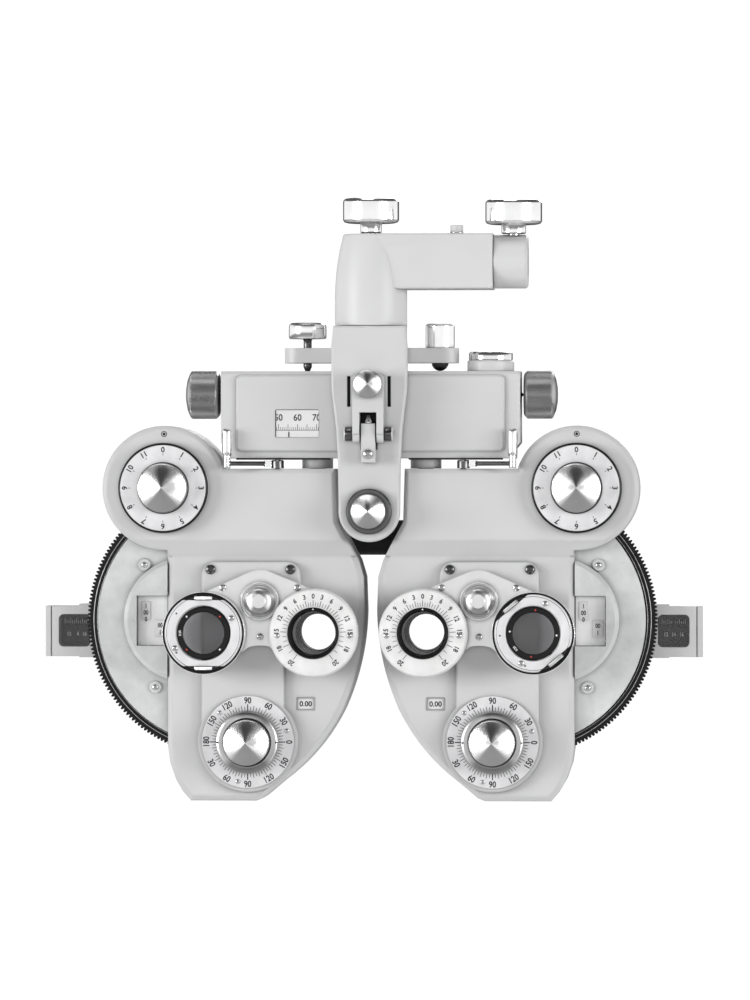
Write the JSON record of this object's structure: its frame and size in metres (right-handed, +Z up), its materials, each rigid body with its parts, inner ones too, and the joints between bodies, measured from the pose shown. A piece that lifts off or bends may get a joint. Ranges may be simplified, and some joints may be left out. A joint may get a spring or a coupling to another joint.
{
  "type": "phoropter",
  "caption": "Manual refractor head: mirrored lens batteries with dials and turrets under a pupil-distance box, hung from a swivelling arm with a clamp socket for a stand rod.",
  "frame": {"origin": "on the stand socket's axis, at the mouth of the socket bore in the arm's end boss", "axes": "+X along the socket bore, out of its mouth, to the examiner's right; +Y away from the examiner, towards the patient; +Z up"},
  "size_m": [0.3386, 0.0968, 0.3079],
  "materials": {
    "stand_socket": "satin, light warm grey paint",
    "socket_clamp_knob": "turned, knurled rim",
    "arm": "satin, light warm grey paint",
    "swivel_clamp_knob": "turned, knurled rim",
    "column": "satin, light warm grey paint",
    "level_bar": "satin, light warm grey paint",
    "level_screw": "knurled",
    "level_plunger": "bright",
    "box_case": "satin, light warm grey paint",
    "box_cover": "satin, light warm grey paint",
    "bubble_level": "bright rim round a green vial",
    "pd_knob_shaft": "dark knurled grip",
    "near_rod_bracket": "semi-gloss light grey",
    "near_rod_clamp_knob": "spun face",
    "forehead_knob": "spun face on a dark collar",
    "forehead_rest": "matt black pad",
    "carriage_left": "machined",
    "front_case_left": "satin, light warm grey paint",
    "rear_case_left": "satin, light warm grey paint",
    "disc_cover_left": "smooth light grey",
    "axis_scale_plate_left": "satin white with black scale",
    "vertex_window_left": "satin, light grey paint",
    "face_shield_left": "soft white plastic",
    "weak_sphere_disc_left": "black, serrated edge",
    "aux_lens_disc_left": "machined",
    "strong_sphere_disc_left": "machined",
    "cylinder_disc_left": "machined",
    "aux_dial_left": "satin white with black scale",
    "strong_sphere_knob_left": "spun face",
    "cylinder_knob_left": "spun face",
    "axis_ring_left": "knurled rim",
    "turret_plate_left": "satin silver",
    "prism_dial_left": "satin white with black scale, knurled rim",
    "prism_lens_left": "clear",
    "jcc_ring_left": "bright ring",
    "jcc_cell_left": "black",
    "jcc_lens_left": "clear, coated",
    "vergence_lever_left": "bright",
    "carriage_right": "machined",
    "front_case_right": "satin, light warm grey paint",
    "rear_case_right": "satin, light warm grey paint",
    "disc_cover_right": "smooth light grey",
    "axis_scale_plate_right": "satin white with black scale",
    "vertex_window_right": "satin, light grey paint",
    "face_shield_right": "soft white plastic",
    "weak_sphere_disc_right": "black, serrated edge",
    "aux_lens_disc_right": "machined",
    "strong_sphere_disc_right": "machined",
    "cylinder_disc_right": "machined",
    "aux_dial_right": "satin white with black scale",
    "strong_sphere_knob_right": "spun face",
    "cylinder_knob_right": "spun face",
    "axis_ring_right": "knurled rim",
    "turret_plate_right": "satin silver",
    "prism_dial_right": "satin white with black scale, knurled rim",
    "prism_lens_right": "clear",
    "jcc_ring_right": "bright ring",
    "jcc_cell_right": "black",
    "jcc_lens_right": "clear, coated",
    "vergence_lever_right": "bright"
  },
  "bodies": {
    "socket": {"stand_socket": "stand_socket"},
    "socket_knob": {"socket_clamp_knob": "socket_clamp_knob"},
    "arm": {"arm": "arm"},
    "swivel_knob": {"swivel_clamp_knob": "swivel_clamp_knob"},
    "column": {"column": "column", "level_bar": "level_bar"},
    "level_screw": {"level_screw": "level_screw"},
    "level_plunger": {"level_plunger": "level_plunger"},
    "box": {"box_case": "box_case", "box_cover": "box_cover", "bubble_level": "bubble_level"},
    "pd_screw": {"pd_knob_shaft": "pd_knob_shaft"},
    "near_rod": {"near_rod_bracket": "near_rod_bracket"},
    "near_rod_knob": {"near_rod_clamp_knob": "near_rod_clamp_knob"},
    "forehead_knob": {"forehead_knob": "forehead_knob"},
    "forehead": {"forehead_rest": "forehead_rest"},
    "carriage_left": {"carriage_left": "carriage_left"},
    "battery_left": {"front_case_left": "front_case_left", "rear_case_left": "rear_case_left", "disc_cover_left": "disc_cover_left", "axis_scale_plate_left": "axis_scale_plate_left", "vertex_window_left": "vertex_window_left", "face_shield_left": "face_shield_left"},
    "weak_disc_left": {"weak_sphere_disc_left": "weak_sphere_disc_left"},
    "aux_disc_left": {"aux_lens_disc_left": "aux_lens_disc_left"},
    "strong_disc_left": {"strong_sphere_disc_left": "strong_sphere_disc_left"},
    "cylinder_disc_left": {"cylinder_disc_left": "cylinder_disc_left"},
    "aux_dial_left": {"aux_dial_left": "aux_dial_left"},
    "strong_knob_left": {"strong_sphere_knob_left": "strong_sphere_knob_left"},
    "cylinder_knob_left": {"cylinder_knob_left": "cylinder_knob_left"},
    "axis_ring_left": {"axis_ring_left": "axis_ring_left"},
    "turret_left": {"turret_plate_left": "turret_plate_left"},
    "prism_left": {"prism_dial_left": "prism_dial_left", "prism_lens_left": "prism_lens_left"},
    "jcc_ring_left": {"jcc_ring_left": "jcc_ring_left"},
    "jcc_cell_left": {"jcc_cell_left": "jcc_cell_left", "jcc_lens_left": "jcc_lens_left"},
    "lever_left": {"vergence_lever_left": "vergence_lever_left"},
    "carriage_right": {"carriage_right": "carriage_right"},
    "battery_right": {"front_case_right": "front_case_right", "rear_case_right": "rear_case_right", "disc_cover_right": "disc_cover_right", "axis_scale_plate_right": "axis_scale_plate_right", "vertex_window_right": "vertex_window_right", "face_shield_right": "face_shield_right"},
    "weak_disc_right": {"weak_sphere_disc_right": "weak_sphere_disc_right"},
    "aux_disc_right": {"aux_lens_disc_right": "aux_lens_disc_right"},
    "strong_disc_right": {"strong_sphere_disc_right": "strong_sphere_disc_right"},
    "cylinder_disc_right": {"cylinder_disc_right": "cylinder_disc_right"},
    "aux_dial_right": {"aux_dial_right": "aux_dial_right"},
    "strong_knob_right": {"strong_sphere_knob_right": "strong_sphere_knob_right"},
    "cylinder_knob_right": {"cylinder_knob_right": "cylinder_knob_right"},
    "axis_ring_right": {"axis_ring_right": "axis_ring_right"},
    "turret_right": {"turret_plate_right": "turret_plate_right"},
    "prism_right": {"prism_dial_right": "prism_dial_right", "prism_lens_right": "prism_lens_right"},
    "jcc_ring_right": {"jcc_ring_right": "jcc_ring_right"},
    "jcc_cell_right": {"jcc_cell_right": "jcc_cell_right", "jcc_lens_right": "jcc_lens_right"},
    "lever_right": {"vergence_lever_right": "vergence_lever_right"}
  },
  "joints": [
    {"name": "socket_clamp_turn", "type": "hinge", "parent": "socket", "child": "socket_knob", "pos_m": [-0.0074, 0, 0.0237], "axis": [0, 0, 1], "range_deg": [-180, 180]},
    {"name": "arm_tilt", "type": "hinge", "parent": "socket", "child": "arm", "pos_m": [-0.0304, 0, 0], "axis": [1, 0, 0], "range_deg": [-15, 15]},
    {"name": "swivel_clamp_turn", "type": "hinge", "parent": "arm", "child": "swivel_knob", "pos_m": [-0.0804, 0, 0.0257], "axis": [0, 0, 1], "range_deg": [-180, 180]},
    {"name": "head_swivel", "type": "hinge", "parent": "arm", "child": "column", "pos_m": [-0.0804, 0, -0.0193], "axis": [0, 0, 1], "range_deg": [-90, 90]},
    {"name": "level_tilt", "type": "hinge", "parent": "column", "child": "box", "pos_m": [-0.0804, -0.0135, -0.0793], "axis": [0, 1, 0], "range_deg": [-2.5, 2.5]},
    {"name": "level_screw_travel", "type": "slide", "parent": "column", "child": "level_screw", "axis": [0, 0, 1], "range_m": [-0.002, 0.002]},
    {"name": "level_plunger_travel", "type": "slide", "parent": "column", "child": "level_plunger", "axis": [0, 0, 1], "range_m": [-0.002, 0.002]},
    {"name": "pd_turn", "type": "hinge", "parent": "box", "child": "pd_screw", "pos_m": [-0.0804, 0.007, -0.0678], "axis": [1, 0, 0], "range_deg": [-405, 2205]},
    {"name": "pd_slide_left", "type": "slide", "parent": "box", "child": "carriage_left", "axis": [-1, 0, 0], "range_m": [-0.00225, 0.01225]},
    {"name": "converge_left", "type": "hinge", "parent": "carriage_left", "child": "battery_left", "pos_m": [-0.1082, 0.007, -0.1093], "axis": [0, 0, 1], "range_deg": [0, 4]},
    {"name": "lever_left", "type": "hinge", "parent": "battery_left", "child": "lever_left", "pos_m": [-0.1279, -0.0055, -0.1033], "axis": [0, 0, 1], "range_deg": [0, 12]},
    {"name": "weak_sphere_turn_left", "type": "hinge", "parent": "battery_left", "child": "weak_disc_left", "pos_m": [-0.1567, 0.0115, -0.1832], "axis": [0, 1, 0], "continuous": true},
    {"name": "aux_disc_turn_left", "type": "hinge", "parent": "battery_left", "child": "aux_disc_left", "pos_m": [-0.1567, 0.0195, -0.1832], "axis": [0, 1, 0], "continuous": true},
    {"name": "aux_dial_turn_left", "type": "hinge", "parent": "battery_left", "child": "aux_dial_left", "pos_m": [-0.1858, -0.0125, -0.1156], "axis": [0, 1, 0], "continuous": true},
    {"name": "strong_disc_turn_left", "type": "hinge", "parent": "battery_left", "child": "strong_disc_left", "pos_m": [-0.1567, 0.0245, -0.1832], "axis": [0, 1, 0], "continuous": true},
    {"name": "strong_knob_turn_left", "type": "hinge", "parent": "battery_left", "child": "strong_knob_left", "pos_m": [-0.1858, -0.0225, -0.1156], "axis": [0, 1, 0], "continuous": true},
    {"name": "cylinder_disc_turn_left", "type": "hinge", "parent": "battery_left", "child": "cylinder_disc_left", "pos_m": [-0.1338, 0.0005, -0.1913], "axis": [0, 1, 0], "continuous": true},
    {"name": "cylinder_knob_turn_left", "type": "hinge", "parent": "battery_left", "child": "cylinder_knob_left", "pos_m": [-0.1429, -0.0225, -0.2452], "axis": [0, 1, 0], "continuous": true},
    {"name": "axis_ring_turn_left", "type": "hinge", "parent": "battery_left", "child": "axis_ring_left", "pos_m": [-0.1429, -0.0135, -0.2452], "axis": [0, 1, 0], "continuous": true},
    {"name": "turret_turn_left", "type": "hinge", "parent": "battery_left", "child": "turret_left", "pos_m": [-0.1362, -0.0125, -0.17315], "axis": [0, 1, 0], "range_deg": [-120, 120]},
    {"name": "prism_turn_left", "type": "hinge", "parent": "turret_left", "child": "prism_left", "pos_m": [-0.1082, -0.0185, -0.1893], "axis": [0, 1, 0], "continuous": true},
    {"name": "jcc_turn_left", "type": "hinge", "parent": "turret_left", "child": "jcc_ring_left", "pos_m": [-0.1642, -0.0185, -0.1893], "axis": [0, 1, 0], "range_deg": [-90, 90]},
    {"name": "jcc_flip_left", "type": "hinge", "parent": "jcc_ring_left", "child": "jcc_cell_left", "pos_m": [-0.1642, -0.025, -0.1893], "axis": [0, 0, 1], "range_deg": [0, 180]},
    {"name": "pd_slide_right", "type": "slide", "parent": "box", "child": "carriage_right", "axis": [1, 0, 0], "range_m": [-0.00225, 0.01225]},
    {"name": "converge_right", "type": "hinge", "parent": "carriage_right", "child": "battery_right", "pos_m": [-0.0526, 0.007, -0.1093], "axis": [0, 0, -1], "range_deg": [0, 4]},
    {"name": "lever_right", "type": "hinge", "parent": "battery_right", "child": "lever_right", "pos_m": [-0.0329, -0.0055, -0.1033], "axis": [0, 0, -1], "range_deg": [0, 12]},
    {"name": "weak_sphere_turn_right", "type": "hinge", "parent": "battery_right", "child": "weak_disc_right", "pos_m": [-0.0041, 0.0115, -0.1832], "axis": [0, -1, 0], "continuous": true},
    {"name": "aux_disc_turn_right", "type": "hinge", "parent": "battery_right", "child": "aux_disc_right", "pos_m": [-0.0041, 0.0195, -0.1832], "axis": [0, -1, 0], "continuous": true},
    {"name": "aux_dial_turn_right", "type": "hinge", "parent": "battery_right", "child": "aux_dial_right", "pos_m": [0.025, -0.0125, -0.1156], "axis": [0, -1, 0], "continuous": true},
    {"name": "strong_disc_turn_right", "type": "hinge", "parent": "battery_right", "child": "strong_disc_right", "pos_m": [-0.0041, 0.0245, -0.1832], "axis": [0, -1, 0], "continuous": true},
    {"name": "strong_knob_turn_right", "type": "hinge", "parent": "battery_right", "child": "strong_knob_right", "pos_m": [0.025, -0.0225, -0.1156], "axis": [0, -1, 0], "continuous": true},
    {"name": "cylinder_disc_turn_right", "type": "hinge", "parent": "battery_right", "child": "cylinder_disc_right", "pos_m": [-0.027, 0.0005, -0.1913], "axis": [0, -1, 0], "continuous": true},
    {"name": "cylinder_knob_turn_right", "type": "hinge", "parent": "battery_right", "child": "cylinder_knob_right", "pos_m": [-0.0179, -0.0225, -0.2452], "axis": [0, -1, 0], "continuous": true},
    {"name": "axis_ring_turn_right", "type": "hinge", "parent": "battery_right", "child": "axis_ring_right", "pos_m": [-0.0179, -0.0135, -0.2452], "axis": [0, -1, 0], "continuous": true},
    {"name": "turret_turn_right", "type": "hinge", "parent": "battery_right", "child": "turret_right", "pos_m": [-0.0246, -0.0125, -0.17315], "axis": [0, -1, 0], "range_deg": [-120, 120]},
    {"name": "prism_turn_right", "type": "hinge", "parent": "turret_right", "child": "prism_right", "pos_m": [-0.0526, -0.0185, -0.1893], "axis": [0, -1, 0], "continuous": true},
    {"name": "jcc_turn_right", "type": "hinge", "parent": "turret_right", "child": "jcc_ring_right", "pos_m": [0.0034, -0.0185, -0.1893], "axis": [0, -1, 0], "range_deg": [-90, 90]},
    {"name": "jcc_flip_right", "type": "hinge", "parent": "jcc_ring_right", "child": "jcc_cell_right", "pos_m": [0.0034, -0.025, -0.1893], "axis": [-0.6428, 0, 0.766], "range_deg": [0, 180]},
    {"name": "near_rod_fold", "type": "hinge", "parent": "column", "child": "near_rod", "pos_m": [-0.0804, -0.0235, -0.0882], "axis": [1, 0, 0], "range_deg": [0, 90]},
    {"name": "near_rod_clamp_turn", "type": "hinge", "parent": "near_rod", "child": "near_rod_knob", "pos_m": [-0.0804, -0.0325, -0.0629], "axis": [0, -1, 0], "range_deg": [-180, 180]},
    {"name": "forehead_slide", "type": "slide", "parent": "column", "child": "forehead", "axis": [0, 1, 0], "range_m": [-0.008, 0.008]},
    {"name": "forehead_turn", "type": "hinge", "parent": "column", "child": "forehead_knob", "pos_m": [-0.0804, -0.0265, -0.1276], "axis": [0, -1, 0], "range_deg": [-1440, 1440]}
  ],
  "couplings": [
    {"joint": "level_screw_travel", "follows": "level_tilt", "m_per_rad": 0.033},
    {"joint": "level_plunger_travel", "follows": "level_tilt", "m_per_rad": -0.035},
    {"joint": "aux_dial_turn_left", "follows": "aux_disc_turn_left", "ratio": -5},
    {"joint": "strong_knob_turn_left", "follows": "strong_disc_turn_left", "ratio": -5},
    {"joint": "cylinder_knob_turn_left", "follows": "cylinder_disc_turn_left", "ratio": -4},
    {"joint": "aux_dial_turn_right", "follows": "aux_disc_turn_right", "ratio": -5},
    {"joint": "strong_knob_turn_right", "follows": "strong_disc_turn_right", "ratio": -5},
    {"joint": "cylinder_knob_turn_right", "follows": "cylinder_disc_turn_right", "ratio": -4},
    {"joint": "pd_turn", "follows": "pd_slide_left", "rad_per_m": 3141.6},
    {"joint": "pd_slide_right", "follows": "pd_slide_left", "ratio": 1},
    {"joint": "converge_right", "follows": "converge_left", "ratio": 1},
    {"joint": "lever_left", "follows": "converge_left", "ratio": 3},
    {"joint": "lever_right", "follows": "converge_left", "ratio": 3},
    {"joint": "forehead_slide", "follows": "forehead_turn", "m_per_rad": 0.00031831}
  ]
}
